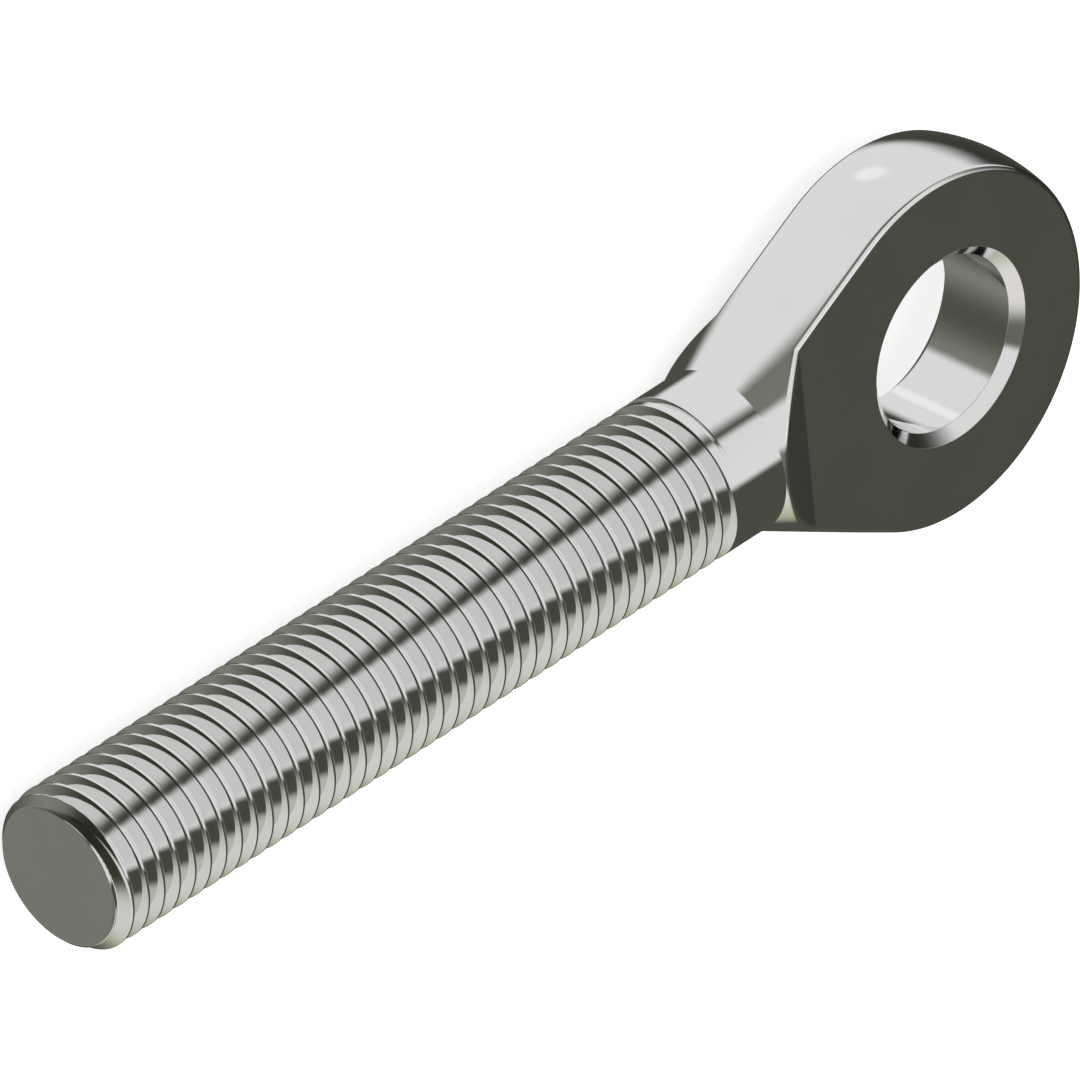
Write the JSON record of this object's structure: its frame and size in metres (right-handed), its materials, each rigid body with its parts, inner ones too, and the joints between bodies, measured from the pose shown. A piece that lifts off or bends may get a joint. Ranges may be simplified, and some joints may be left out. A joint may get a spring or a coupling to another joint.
{
  "type": "threaded rod eye",
  "caption": "One-piece threaded rod with a flattened ball eye at one end, for pinning a tie rod, turnbuckle or anchor to a clevis.",
  "frame": {"origin": "middle of the cross bore in the eye, half way between the two flats", "axes": "+X along the bar from the threaded end towards the eye, +Z along the cross bore, +Y across; the part lies on a table with the cross bore upright"},
  "size_m": [0.1275, 0.036, 0.0162],
  "materials": {
    "polished_steel": "polished stainless steel, all over"
  },
  "bodies": {
    "root": {"rod_eye": "polished_steel"}
  },
  "joints": []
}
